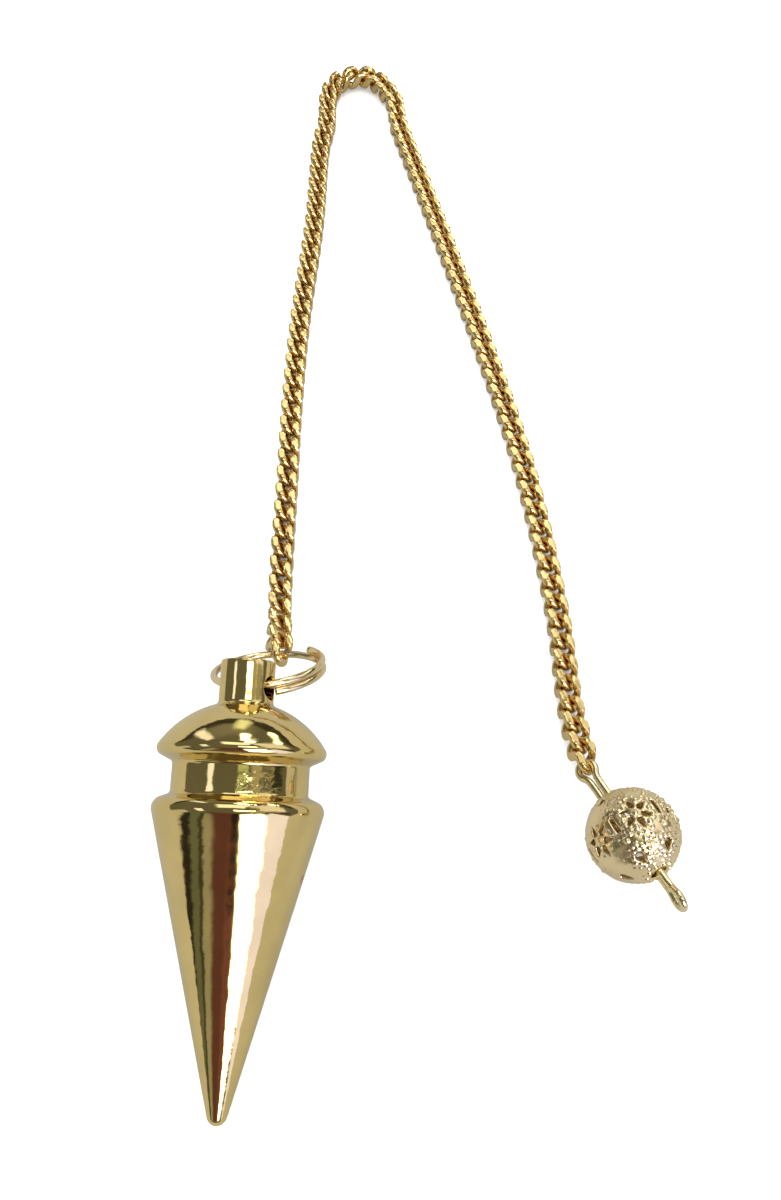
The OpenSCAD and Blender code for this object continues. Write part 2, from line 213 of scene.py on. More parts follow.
def bob_outline(b):
    """The bob's outline, in millimetres along r and z from the point's end."""
    shoulder_c = np.array([b.body_d / 2 - b.shoulder_r, b.body_len])
    reach = math.hypot(shoulder_c[0], b.body_len - b.tip_r)
    lean = math.degrees(math.asin((b.tip_r - b.shoulder_r) / reach))
    b.half_angle = math.degrees(math.atan2(shoulder_c[0], b.body_len - b.tip_r)) - lean
    edge = shoulder_c + b.shoulder_r * np.array([sin(b.shoulder_slope), cos(b.shoulder_slope)])
    collar_r = b.collar_d / 2
    collar_z = edge[1] + (edge[0] - collar_r) * math.tan(math.radians(b.shoulder_slope))
    under_z = collar_z + b.collar_h
    under_tan = math.tan(math.radians(b.under_slope))
    lip_x = b.cap_d / 2 - b.lip_r
    under_x = lip_x + b.lip_r * sin(b.under_slope)
    lip_y = under_z + (under_x - collar_r) * under_tan + b.lip_r * cos(b.under_slope)
    dome_z = lip_y - math.sqrt((b.dome_r - b.lip_r) ** 2 - lip_x ** 2)
    lip_angle = math.degrees(math.atan2(lip_y - dome_z, lip_x))
    foot_x = b.stem_d / 2 + b.foot_r
    foot_y = dome_z + math.sqrt((b.dome_r + b.foot_r) ** 2 - foot_x ** 2)
    foot_angle = math.degrees(math.atan2(foot_y - dome_z, foot_x))
    b.stem_z = dome_z + math.sqrt(b.dome_r ** 2 - (b.stem_d / 2) ** 2) + b.stem_h
    b.bore_z = b.stem_z - b.bore_depth
    cone_foot = np.array([b.tip_r * cos(b.half_angle), b.tip_r - b.tip_r * sin(b.half_angle)])
    cone_top = shoulder_c + b.shoulder_r * np.array([cos(b.half_angle), -sin(b.half_angle)])
    cone = cone_foot + (cone_top - cone_foot) * np.linspace(0, 1, STEPS.cone + 1)[1:-1, None]
    low = np.array([collar_r, collar_z])
    high = np.array([collar_r, under_z])
    under_end = np.array([under_x, lip_y - b.lip_r * cos(b.under_slope)])
    stem_c = np.array([b.stem_d / 2 - b.stem_round, b.stem_z - b.stem_round])
    stem_foot = np.array([b.stem_d / 2, foot_y])
    stem_top = stem_c + [b.stem_round, 0]
    stem = stem_foot + (stem_top - stem_foot) * np.linspace(0, 1, STEPS.stem + 1)[1:-1, None]
    collar = np.linspace(COLLAR_MARGIN, 1 - COLLAR_MARGIN, STEPS.collar + 1)[:, None]
    return np.concatenate([
        arc([0, b.tip_r], b.tip_r, -90, -b.half_angle, STEPS.tip),
        cone,
        arc(shoulder_c, b.shoulder_r, -b.half_angle, 90 - b.shoulder_slope, STEPS.shoulder),
        fillet(edge, low, high, COLLAR_FILLET, FILLET_STEPS),
        low + (high - low) * collar,
        fillet(low, high, under_end, COLLAR_FILLET, FILLET_STEPS),
        arc([lip_x, lip_y], b.lip_r, b.under_slope - 90, lip_angle, STEPS.lip),
        arc([0, dome_z], b.dome_r, lip_angle, foot_angle, STEPS.dome)[1:-1],
        arc([foot_x, foot_y], b.foot_r, 180 + foot_angle, 180, STEPS.foot),
        stem,
        arc(stem_c, b.stem_round, 0, 90, STEPS.stem_round),
        [[0, b.stem_z]]])


outline = bob_outline(BOB)
axis = np.array([cos(BOB.half_angle) * cos(BOB.heading),
                 cos(BOB.half_angle) * sin(BOB.heading),
                 sin(BOB.half_angle)])
bore_c = np.array([BOB.bore_x, BOB.bore_y, BOB.tip_r + (BOB.bore_z - BOB.tip_r) * axis[2]])
tip_c = bore_c - (BOB.bore_z - BOB.tip_r) * axis
BOB_PLACE = (Matrix.Translation(Vector(tip_c) * MM)
             @ Matrix.Rotation(math.radians(BOB.heading - 90), 4, "Z")
             @ Matrix.Rotation(math.radians(BOB.half_angle - 90), 4, "X")
             @ Matrix.Rotation(math.radians(BOB.roll), 4, "Z")
             @ Matrix.Translation((0, 0, -BOB.tip_r * MM)))


def make_bob():
    """The turned bob, with its cross bore cut through the stem."""
    a = np.arange(LATHE_SIDES) * 2 * np.pi / LATHE_SIDES
    inner = outline[1:-1]
    points = np.stack([np.outer(inner[:, 0], np.cos(a)), np.outer(inner[:, 0], np.sin(a)),
                       np.repeat(inner[:, 1:], LATHE_SIDES, 1)], -1).reshape(-1, 3)
    count = len(inner)
    faces = wall(count, LATHE_SIDES, False)
    points = np.concatenate([points, [[0, 0, 0], [0, 0, BOB.stem_z]]])
    tip = count * LATHE_SIDES
    for k in range(LATHE_SIDES):
        m = (k + 1) % LATHE_SIDES
        faces.append([tip, m, k])
        top = (count - 1) * LATHE_SIDES
        faces.append([tip + 1, top + k, top + m])
    bob = mesh_piece("turned_bob", points, faces)
    cutter = bore_cutter()
    cut = bob.modifiers.new("bore", "BOOLEAN")
    cut.object = cutter
    cut.operation = "DIFFERENCE"
    cut.solver = "EXACT"
    soften = bob.modifiers.new("rim", "BEVEL")
    soften.width = RIM_WIDTH * MM
    soften.segments = 2
    soften.limit_method = "ANGLE"
    soften.angle_limit = math.radians(RIM_ANGLE)
    apply_modifiers(bob)
    bpy.data.objects.remove(cutter)
    bob.data.transform(BOB_PLACE)
    bob.data.shade_smooth()
    bob.data.set_sharp_from_angle(angle=math.radians(BOB_SHARP))
    return bob


def bore_cutter():
    """A cylinder through the stem and past both its sides."""
    sides = BORE_SIDES
    reach = BOB.stem_d * CUTTER_REACH
    x, y = circle_of(sides, BOB.bore_d / 2)
    points = [[end * reach, x[k], BOB.bore_z + y[k]] for end in (-1, 1) for k in range(sides)]
    faces = wall(2, sides, False)
    faces.append(list(range(sides))[::-1])
    faces.append([sides + k for k in range(sides)])
    return mesh_piece("bore_cutter", points, faces)


def apply_modifiers(piece):
    """Replaces the piece's mesh by the one that its modifiers make."""
    bpy.context.view_layer.update()
    depsgraph = bpy.context.evaluated_depsgraph_get()
    made = bpy.data.meshes.new_from_object(piece.evaluated_get(depsgraph))
    piece.modifiers.clear()
    old = piece.data
    piece.data = made
    bpy.data.meshes.remove(old)


# The split ring
ring_r = (RING.d - RING.wire) / 2
ring_rise = RING.wire + RING.gap
ring_x = np.array([cos(RING.swing), sin(RING.swing), 0])
ring_y = np.array([-sin(RING.swing) * cos(RING.droop), cos(RING.swing) * cos(RING.droop), -sin(RING.droop)])
ring_n = np.cross(ring_x, ring_y)
ring_start = RING.crossing + RING.overlap - 360
ring_seat = (BOB.bore_d - RING.wire) / 2 - RING.seat_clear

# How much thicker each wire is drawn than the part's
RING_GROWTH = 0.06
WIRE_GROWTH = 0.22
PIN_GROWTH = 0.1
RING_STEPS = 180
RING_SIDES = 20
PIN_SIDES = 16


def ring_arm(a):
    """From the ring's middle to its wire's middle line at an angle."""
    return ring_r * (cos(a) * ring_x + sin(a) * ring_y) + ring_n * ring_rise * (a - ring_start) / 360


ring_c = (bore_c - ring_arm(RING.crossing)
          + ring_seat * (ring_n * sin(RING.bearing) - ring_y * cos(RING.bearing)))


def make_ring():
    turn = 360 * RING.turns / RING_STEPS
    line = [ring_c + ring_arm(ring_start + turn * i) for i in range(RING_STEPS + 1)]
    points, faces = sweep(line, (RING.wire + RING_GROWTH) / 2, RING_SIDES, CUT_BEVEL)
    ring = mesh_piece("round_wire_ring", points, faces)
    ring.data.set_sharp_from_angle(angle=math.radians(WIRE_SHARP))
    return ring


# The chain's links, laid along the route as in the part
link_r = (LINK.width - LINK.wire) / 2
link_run = LINK.length / 2 - LINK.wire / 2 - link_r
link_tip = link_run + link_r


def rest_height(roll):
    return link_r * sin(min(90, abs(roll) + LINK.twist)) + LINK.wire / 2 + LINK.rest_clear


def end_row(p, roll):
    return [p[0], p[1], p[2] - rest_height(roll), roll]


def smooth_rows(rows, steps):
    """A smooth curve through the rows, with as many steps between each two."""
    rows = np.array(rows, float)
    last = len(rows) - 1
    out = []
    for i in range(last):
        p0, p1, p2, p3 = rows[max(i - 1, 0)], rows[i], rows[i + 1], rows[min(i + 2, last)]
        for k in range(steps):
            t = k / steps
            out.append((2 * p1 + (p2 - p0) * t + (2 * p0 - 5 * p1 + 4 * p2 - p3) * t ** 2
                        + (3 * p1 - p0 - 3 * p2 + p3) * t ** 3) / 2)
    return np.array(out + [rows[last]])


ball_r = BALL.d / 2
inner_r = ball_r - BALL.wall
granule_stand = ball_r + BALL.granule_rise - BALL.granule_d / 2
pin_dir = np.array([cos(PIN.heading) * cos(PIN.dip), sin(PIN.heading) * cos(PIN.dip), -sin(PIN.dip)])
leg = (PIN.wire + PIN.leg_gap) / 2
hole_r = leg + PIN.wire / 2 + BALL.hole_clear
eye_r = (PIN.eye_w - PIN.wire) / 2
eye_at = ball_r + PIN.eye_out - PIN.eye_w / 2
free_at = ball_r + PIN.free_out - PIN.eye_w / 2


def on_ball(turn, lift):
    return np.array([cos(lift) * cos(turn), cos(lift) * sin(turn), sin(lift)])


def beside(turn, side, away):
    """The direction that lies some millimetres beside the middle of the flower at turn."""
    q = math.degrees(away / ball_r)
    p = np.array([cos(q), sin(q) * sin(side), sin(q) * cos(side)])
    return np.array([p[0] * cos(turn) - p[1] * sin(turn), p[0] * sin(turn) + p[1] * cos(turn), p[2]])


# How far the end granules stand outside the hole's edge, in granules
END_ROW_OUT = 0.75


def main_granules():
    """Directions of the part's own granules from the ball's middle, with the ball's ends along Z."""
    flower_step = 360 / BALL.flowers
    petal_step = 360 / BALL.petals
    end_lift = 90 - math.degrees(math.asin((hole_r + BALL.granule_d * END_ROW_OUT) / ball_r))
    away = BALL.petal_in + BALL.petal_w
    spots = [beside(i * flower_step, 0, 0) for i in range(BALL.flowers)]
    spots += [beside(i * flower_step, (k + 0.5) * petal_step, away)
              for i in range(BALL.flowers) for k in range(BALL.petals)]
    spots += [on_ball((i + 0.5) * flower_step, lift * BALL.drop_lift / 2)
              for i in range(BALL.flowers) for lift in (-1, 1)]
    spots += [on_ball(k * 360 / BALL.end_granules, lift * end_lift)
              for k in range(BALL.end_granules) for lift in (-1, 1)]
    return spots


granules = main_granules()
ball_rest = max([ball_r] + [granule_stand * (cos(PIN.dip) * s[0] + sin(PIN.dip) * s[2]) + BALL.granule_d / 2
                            for s in granules])
ball_c = np.array([BALL.x, BALL.y, ball_rest])
eye_c = ball_c + pin_dir * eye_at
BALL_PLACE = (Matrix.Translation(Vector(ball_c) * MM)
              @ Matrix.Rotation(math.radians(PIN.heading), 4, "Z")
              @ Matrix.Rotation(math.radians(90 + PIN.dip), 4, "Y"))

first_link = link_tip - (LINK.wire + RING.wire) / 2 - LINK.end_clear
last_link = link_tip - (LINK.wire + PIN.wire) / 2 - LINK.end_clear
full_pitch = 2 * link_tip - LINK.wire - LINK.clear
tail = CHAIN_ROUTE[-1]
tail_end = np.array([tail[0], tail[1], rest_height(tail[3])])
hook_start = ring_c + ring_arm(LINK_HANG)
hook_end = eye_c - unit(eye_c - tail_end) * ((LINK.wire + PIN.wire) / 2 + LINK.end_clear)
route_rows = [end_row(hook_start, START_ROLL)] + CHAIN_ROUTE + [end_row(hook_end, END_ROLL)]
route = smooth_rows(route_rows, CURVE_STEPS)
route[:, 2] = np.maximum(route[:, 2], 0) + [rest_height(roll) for roll in route[:, 3]]
route_at = np.concatenate([[0], np.cumsum(np.linalg.norm(np.diff(route[:, :3], axis=0), axis=1))])
links = math.ceil((route_at[-1] - first_link - last_link) / full_pitch) + 1
pitch = (route_at[-1] - first_link - last_link) / (links - 1)


def route_row(at):
    return np.array([np.interp(at, route_at, route[:, k]) for k in range(4)])


def link_seat(i):
    """A link's middle, and its directions along the chain, across it and up."""
    at = first_link + i * pitch
    half = min(pitch / 2, at, route_at[-1] - at)
    back = route_row(at - half)
    front = route_row(at + half)
    along = unit(front[:3] - back[:3])
    side = unit(np.cross([0, 0, 1], along))
    lift = np.cross(along, side)
    roll = (front[3] + back[3]) / 2
    across = side * cos(roll) + lift * sin(roll)
    return (front + back)[:3] / 2, along, across, lift * cos(roll) - side * sin(roll)


LINK_SIDES = 20
BEND_STEPS = 13
RUN_STEPS = 6
# How far the filed flats lie from a link's middle
FLAT_UP = 1.13
FLAT_DOWN = 1.21
FLAT_OUT = 1.34


def link_shape():
    """A link's points in its own directions: a round wire along a stadium with twisted ends."""
    flat = np.concatenate([
        arc([link_run, 0], link_r, -90, 90, BEND_STEPS)[:-1],
        np.stack([np.linspace(link_run, -link_run, RUN_STEPS + 1)[:-1], np.full(RUN_STEPS, link_r)], 1),
        arc([-link_run, 0], link_r, 90, 270, BEND_STEPS)[:-1],
        np.stack([np.linspace(-link_run, link_run, RUN_STEPS + 1)[:-1], np.full(RUN_STEPS, -link_r)], 1)])
    share = np.clip(flat[:, 0] / link_run, -1, 1)
    turn = np.radians(-LINK.twist * np.sin(share * np.pi / 2))
    line = np.stack([flat[:, 0], flat[:, 1] * np.cos(turn), flat[:, 1] * np.sin(turn)], 1)
    run = unit(np.roll(line, -1, 0) - np.roll(line, 1, 0))
    out = unit(np.cross(np.stack([np.zeros(len(turn)), -np.sin(turn), np.cos(turn)], 1), run))
    up = np.cross(run, out)
    x, y = circle_of(LINK_SIDES, (LINK.wire + WIRE_GROWTH) / 2)
    shape = line[:, None] + x[None, :, None] * out[:, None] + y[None, :, None] * up[:, None]
    shape[..., 1] = np.clip(shape[..., 1], -FLAT_OUT, FLAT_OUT)
    shape[..., 2] = np.clip(shape[..., 2], -FLAT_DOWN, FLAT_UP)
    return shape


# The name under which the links' mesh keeps how far each point lies on a link's inner side, which sets its
# share of painted shade, and that value halfway between its inner and outer side
INNER_SIDE = "inner_side"
INNER_TOP = 0.1


def make_chain():
    shape = link_shape()
    one = wall(len(shape), LINK_SIDES, True)
    flat = shape.reshape(-1, 3)
    points = []
    faces = []
    for i in range(links):
        middle, along, side, lift = link_seat(i)
        points.append(middle + flat[:, :1] * along + flat[:, 1:2] * side + flat[:, 2:] * lift)
        faces += (np.array(one) + i * len(flat)).tolist()
    chain = mesh_piece("twisted_links", np.concatenate(points), faces)
    x, _ = circle_of(LINK_SIDES, 1.0)
    # How much painted shade each point gets: most on a link's inner side, none on its outer side
    inward = np.tile(np.clip(INNER_TOP + (1 - INNER_TOP) * x, 0, 1), len(shape) * links)
    shade = chain.data.attributes.new(INNER_SIDE, "FLOAT", "POINT")
    shade.data.foreach_set("value", inward.astype(np.float32))
    chain.data.set_sharp_from_angle(angle=math.radians(LINK_SHARP))
    return chain


# The eye pin: where an eye's legs part, in eye radii from its middle, how far its loop runs to either
# side, and how often the pin's line is rounded
EYE_NECK = 1.3
EYE_TURN = 130
EYE_STEPS = 24
PIN_ROUNDS = 2


def eye_line(at):
    """An eye's middle line from its tucked end round the eye and back: distance out and sideways."""
    loop = arc([at, 0], eye_r, -EYE_TURN, EYE_TURN, EYE_STEPS)
    neck = at - eye_r * EYE_NECK
    return np.concatenate([[[inner_r, -leg], [ball_r, -leg], [neck, -leg]], loop,
                           [[neck, leg], [ball_r, leg], [inner_r, leg]]])


def make_pin():
    _, _, side, lift = link_seat(links - 1)
    hook_wire = side * cos(LINK.twist) - lift * sin(LINK.twist)
    eye_normal = unit(hook_wire - (hook_wire @ pin_dir) * pin_dir)
    eye_side = np.cross(eye_normal, pin_dir)
    free_normal = unit(np.cross(pin_dir, [0, 0, 1]))
    free_side = np.cross(free_normal, pin_dir)
    near = np.array([p[0] * pin_dir + p[1] * eye_side for p in eye_line(eye_at)])
    far = np.array([-p[0] * pin_dir + p[1] * free_side for p in eye_line(free_at)[::-1]])
    line = ball_c + np.concatenate([near, [[0, 0, 0]], far])
    points, faces = sweep(chaikin(line, PIN_ROUNDS), (PIN.wire + PIN_GROWTH) / 2, PIN_SIDES, CUT_BEVEL)
    pin = mesh_piece("wire_pin", points, faces)
    pin.data.set_sharp_from_angle(angle=math.radians(WIRE_SHARP))
    return pin


# The filigree ball: a field of distances to its surface, whose zero is drawn as a mesh
NET_STEP = 0.1
EDGE_ROUND = 0.16
BLEND = 0.07
# The largest distance from an opening, and the least depth of a spot in the flat pattern
FAR = 9.0
NEAR_AXIS = 0.5
# How far inside and outside the metal the field is worked out, and how its points are pulled to the surface
BAND_IN = 0.4
BAND_OUT = 0.1
PULLS = 3
PROBE = 0.01
LEAST_SLOPE = 0.2
LONGEST_PULL = 0.4
# The fine granules: their size, the distance that they keep from an opening's edge, the range and step in
# degrees of the spots that are tried, and the shares that thin them out and raise them
FINE_D = 0.6
FINE_GAP = 0.27
FINE_TURNS = (-8, 38)
FINE_LIFTS = (-8, 76)
FINE_TRY = 0.5
FINE_OFF = 0.9
FINE_NEAREST = 0.8
FINE_SPACING = 0.47
FINE_RISE = 0.55
# Where the ball is rubbed smooth, and how deep its granules sink there
WORN = BALL_PLACE.to_3x3().transposed() @ Vector((-0.9, -0.42, -0.1))
WORN_DEPTH = 0.15
WORN_SLOPE = 2
WORN_FROM = 0.55
WORN_MAIN = 0.5
# The part of the pattern that repeats, with a margin: from and to in degrees of turn, and the lowest height
# and the height where the end granules begin, in radii
FOLD_FROM = -9
FOLD_TO = 39
FOLD_LOW = -0.2
END_LIFT = 0.9
# How far the pattern wanders, in millimetres
WOBBLE = 0.035


def soft_min(a, b, k):
    h = np.clip(0.5 + 0.5 * (b - a) / k, 0, 1)
    return b + (a - b) * h - k * h * (1 - h)


def soft_max(a, b, k):
    return -soft_min(-a, -b, k)


def drop_distance(u, v, length, width):
    """Distance to a flat drop: a circle about the middle and a point along +u."""
    r = width / 2
    reach = length - r
    b = r / reach
    a = math.sqrt(1 - b * b)
    v = np.abs(v)
    along = -b * v + a * u
    round_end = np.hypot(u, v) - r
    point = np.hypot(u - reach, v)
    side = a * v + b * u - r
    return np.where(along < 0, round_end, np.where(along > a * reach, point, side))


def slit_distance(u, v, length, width):
    half = length / 2 - width / 2
    return np.hypot(np.maximum(np.abs(u) - half, 0), v) - width / 2


def openings_distance(p):
    """Distance, along the ball's surface, to the nearest opening of the folded pattern."""
    x, y, z = p[:, 0], p[:, 1], p[:, 2]
    out = np.full(len(p), FAR)
    scale = ball_r / np.maximum(x, NEAR_AXIS)
    u, v = z * scale, y * scale
    size = BALL.flower_r - BALL.petal_in + BALL.petal_w / 2
    for k in range(BALL.petals):
        turn = 360 / BALL.petals * k
        along = u * cos(turn) + v * sin(turn) - BALL.petal_in
        across = v * cos(turn) - u * sin(turn)
        out = np.minimum(out, drop_distance(along, across, size, BALL.petal_w))
    half_step = 180 / BALL.flowers
    qx = x * cos(half_step) + y * sin(half_step)
    qy = y * cos(half_step) - x * sin(half_step)
    scale = ball_r / np.maximum(qx, NEAR_AXIS)
    out = np.minimum(out, slit_distance(z * scale, qy * scale, BALL.slit_len, BALL.slit_w))
    lift = BALL.drop_lift
    rx = qx * cos(lift) + z * sin(lift)
    rz = z * cos(lift) - qx * sin(lift)
    scale = ball_r / np.maximum(rx, NEAR_AXIS)
    return np.minimum(out, drop_distance(rz * scale, qy * scale, BALL.drop_len, BALL.drop_w))


def folded(p):
    """The same spot in the first half step of turn and above the middle, where the pattern repeats."""
    step = 2 * np.pi / BALL.flowers
    turn = np.arctan2(p[:, 1], p[:, 0])
    turn = np.abs((turn + step / 2) % step - step / 2)
    r = np.hypot(p[:, 0], p[:, 1])
    return np.stack([r * np.cos(turn), r * np.sin(turn), np.abs(p[:, 2])], 1)


def in_fold(direction):
    """Whether a direction lies in the part of the pattern that repeats."""
    turn = math.degrees(math.atan2(direction[1], direction[0]))
    return FOLD_FROM <= turn <= FOLD_TO and direction[2] > FOLD_LOW


def fine_granules():
    """Small granules in rows round the openings, in the folded part of the ball."""
    turns = np.arange(*FINE_TURNS, FINE_TRY)
    lifts = np.arange(*FINE_LIFTS, FINE_TRY)
    grid = np.array([on_ball(turn, lift) for turn in turns for lift in lifts]) * ball_r
    away = openings_distance(folded(grid))
    near = np.abs(away - FINE_GAP)
    order = np.argsort(near, kind="stable")
    chosen = [s * ball_r for s in granules if in_fold(s)]
    sizes = [BALL.granule_d] * len(chosen)
    fine = []
    for i in order:
        if near[i] > FINE_OFF or away[i] < FINE_GAP * FINE_NEAREST:
            continue
        spot = grid[i]
        reach = [(size + FINE_D) * FINE_SPACING for size in sizes]
        if all(np.linalg.norm(spot - c) > d for c, d in zip(chosen, reach)):
            chosen.append(spot)
            sizes.append(FINE_D)
            fine.append(spot / ball_r)
    return fine


def ball_field(p, fine):
    """Distance to the ball's surface, negative in the metal."""
    wobble = np.sin(2.3 * p[:, [1, 2, 0]] + [0.4, 1.9, 3.1])
    p = p + WOBBLE * wobble * np.sin(1.7 * p[:, [2, 0, 1]] + [2.2, 0.3, 1.1])
    r = np.linalg.norm(p, axis=1)
    q = folded(p)
    shell = np.maximum(r - ball_r, inner_r - r)
    hole = hole_r - np.hypot(p[:, 0], p[:, 1])
    opened = soft_max(shell, -openings_distance(q), EDGE_ROUND)
    opened = soft_max(opened, hole, EDGE_ROUND)
    worn = WORN_DEPTH * np.clip(WORN_SLOPE * (p @ np.array(WORN)) / np.maximum(r, 1) - WORN_FROM, 0, 1)
    for direction in granules:
        if in_fold(direction) and direction[2] <= END_LIFT:
            away = np.linalg.norm(q - direction * granule_stand, axis=1)
            opened = soft_min(opened, away - BALL.granule_d / 2 + WORN_MAIN * worn, BLEND)
    stand = ball_r + BALL.granule_rise * FINE_RISE - FINE_D / 2
    for direction in fine:
        away = np.linalg.norm(q - direction * stand, axis=1)
        opened = soft_min(opened, away - FINE_D / 2 + worn, BLEND)
    for direction in granules:
        if abs(direction[2]) > END_LIFT:
            away = np.linalg.norm(p - direction * granule_stand, axis=1)
            opened = soft_min(opened, away - BALL.granule_d / 2, BLEND)
    return opened


def make_ball():
    fine = fine_granules()
    reach = ball_r + BALL.granule_rise + 2 * NET_STEP
    n = int(2 * reach / NET_STEP) + 2
    line = -reach + NET_STEP * np.arange(n)
    grid = np.stack(np.meshgrid(line, line, line, indexing="ij"), -1).reshape(-1, 3)
    r = np.linalg.norm(grid, axis=1)
    band = (r > inner_r - BAND_IN) & (r < reach + BAND_OUT)
    values = np.ones(len(grid))
    values[band] = ball_field(grid[band], fine)
    points, faces = surface_net(values.reshape(n, n, n), line)
    for _ in range(PULLS):
        points = points - toward_surface(points, fine)
    ball = mesh_piece("granulated_ball", points, faces)
    ball.data.transform(BALL_PLACE)
    return ball


def toward_surface(points, fine):
    """The step from each point to the field's zero, along the field's slope."""
    here = ball_field(points, fine)
    slope = np.stack([ball_field(points + step, fine) - ball_field(points - step, fine)
                      for step in np.eye(3) * PROBE], 1) / (2 * PROBE)
    size = np.maximum((slope ** 2).sum(1), LEAST_SLOPE)
    move = slope * (here / size)[:, None]
    length = np.linalg.norm(move, axis=1, keepdims=True)
    return move * np.minimum(1, LONGEST_PULL * NET_STEP / np.maximum(length, 1e-9))


def surface_net(values, line):
    """One point in each cell that the surface crosses, and one quad on each edge that it crosses."""
    n = len(line)
    inside = values < 0
    total = np.zeros((n - 1, n - 1, n - 1, 3))
    count = np.zeros((n - 1, n - 1, n - 1))
    spots = np.stack(np.meshgrid(line, line, line, indexing="ij"), -1)
    edges = []
    for axis in range(3):
        low = [slice(None)] * 3
        high = [slice(None)] * 3
        low[axis] = slice(0, n - 1)
        high[axis] = slice(1, n)
        a, b = values[tuple(low)], values[tuple(high)]
        crossed = inside[tuple(low)] != inside[tuple(high)]
        where = np.argwhere(crossed)
        va, vb = a[crossed], b[crossed]
        share = va / (va - vb)
        start = spots[tuple(low)][crossed]
        point = start.copy()
        point[:, axis] += share * (line[1] - line[0])
        edges.append((axis, where, va < 0))
        others = [k for k in range(3) if k != axis]
        for du in (0, 1):
            for dv in (0, 1):
                cell = where.copy()
                cell[:, others[0]] -= du
                cell[:, others[1]] -= dv
                ok = (cell >= 0).all(1) & (cell < n - 1).all(1)
                index = tuple(cell[ok].T)
                np.add.at(total, index, point[ok])
                np.add.at(count, index, 1)
    used = count > 0
    number = np.full(used.shape, -1)
    number[used] = np.arange(used.sum())
    points = total[used] / count[used][:, None]
    faces = []
    for axis, where, from_inside in edges:
        u, v = (axis + 1) % 3, (axis + 2) % 3
        corners = []
        for du, dv in ((0, 0), (1, 0), (1, 1), (0, 1)):
            cell = where.copy()
            cell[:, u] -= du
            cell[:, v] -= dv
            corners.append(number[tuple(cell.T)])
        quad = np.stack(corners, 1)
        quad[~from_inside] = quad[~from_inside][:, ::-1]
        faces.append(quad)
    return points, np.concatenate(faces).tolist()


def noise_value(mat, place, scale, detail, stretch):
    """A noise at a place, stretched along its axes."""
    nodes = mat.node_tree.nodes
    join = mat.node_tree.links.new
    mapping = nodes.new("ShaderNodeMapping")
    mapping.inputs["Scale"].default_value = stretch
    tex = nodes.new("ShaderNodeTexNoise")
    tex.inputs["Scale"].default_value = scale
    tex.inputs["Detail"].default_value = detail
    join(place, mapping.inputs["Vector"])
    join(mapping.outputs["Vector"], tex.inputs["Vector"])
    return tex.outputs["Fac"]


# Materials: how fine each unevenness is, its stretch, and its height in metres
PATCH_SCALE = 260
WIPE_SCALE = 900
WIPE_STRETCH = (1, 1, 0.12)
PEEL_SCALE = 1100
PEEL_HEIGHT = 0.00005
GRAIN_SCALE = 9000
GRAIN_HEIGHT = 0.00001
DARKEST_TINT = 0.94
LIGHTEST_TINT = 1.04


def gold(name, colour, roughness, peel, grain):
    """Polished plating: a slightly uneven mirror with fine scratches, patches of tint and tiny pits."""
    mat = bpy.data.materials.new(name)
    mat.use_nodes = True
    nodes = mat.node_tree.nodes
    join = mat.node_tree.links.new
    shader = nodes["Principled BSDF"]
    shader.inputs["Metallic"].default_value = 1.0
    coord = nodes.new("ShaderNodeTexCoord")

    def noise(scale, detail, stretch=(1, 1, 1)):
        return noise_value(mat, coord.outputs["Object"], scale, detail, stretch)

    def mapped(value, low, high, to_low, to_high):
        node = nodes.new("ShaderNodeMapRange")
        node.inputs["From Min"].default_value = low
        node.inputs["From Max"].default_value = high
        node.inputs["To Min"].default_value = to_low
        node.inputs["To Max"].default_value = to_high
        join(value, node.inputs["Value"])
        return node.outputs["Result"]

    patches = noise(PATCH_SCALE, 3)
    tint = nodes.new("ShaderNodeMix")
    tint.data_type = "RGBA"
    tint.inputs["A"].default_value = (*[c * DARKEST_TINT for c in colour], 1)
    tint.inputs["B"].default_value = (*[min(1, c * LIGHTEST_TINT) for c in colour], 1)
    join(mapped(patches, 0.35, 0.65, 0, 1), tint.inputs["Factor"])
    join(tint.outputs["Result"], shader.inputs["Base Color"])
    wipes = noise(WIPE_SCALE, 4, WIPE_STRETCH)
    join(mapped(wipes, 0.35, 0.75, roughness * 0.75, roughness * 1.5), shader.inputs["Roughness"])
    peel_bump = nodes.new("ShaderNodeBump")
    peel_bump.inputs["Strength"].default_value = peel
    peel_bump.inputs["Distance"].default_value = PEEL_HEIGHT
    join(noise(PEEL_SCALE, 2), peel_bump.inputs["Height"])
    fine_bump = nodes.new("ShaderNodeBump")
    fine_bump.inputs["Strength"].default_value = grain
    fine_bump.inputs["Distance"].default_value = GRAIN_HEIGHT
    join(noise(GRAIN_SCALE, 2), fine_bump.inputs["Height"])
    join(peel_bump.outputs["Normal"], fine_bump.inputs["Normal"])
    join(fine_bump.outputs["Normal"], shader.inputs["Normal"])
    return mat


# The bob's unevenness, in metres, and its marks, in millimetres from its point, with +Z along its axis
WAVE_SCALE = 330
WAVE_HEIGHT = 0.00007
MARK_SCALE = 140
MARK_STRETCH = (0.6, 0.6, 24)
MARK_HEIGHT = 0.000005
CRINKLE_SCALE = 1500
CRINKLE_HEIGHT = 0.00006
CRINKLE_SPOT = (4.6, -5.2, 30.9)
NICK_SCALE = 1900
NICK_HEIGHT = 0.00012
NICK_SPOT = (6.85, 1.17, 22.93)
STAIN = (0.42, 0.13, 0.05)


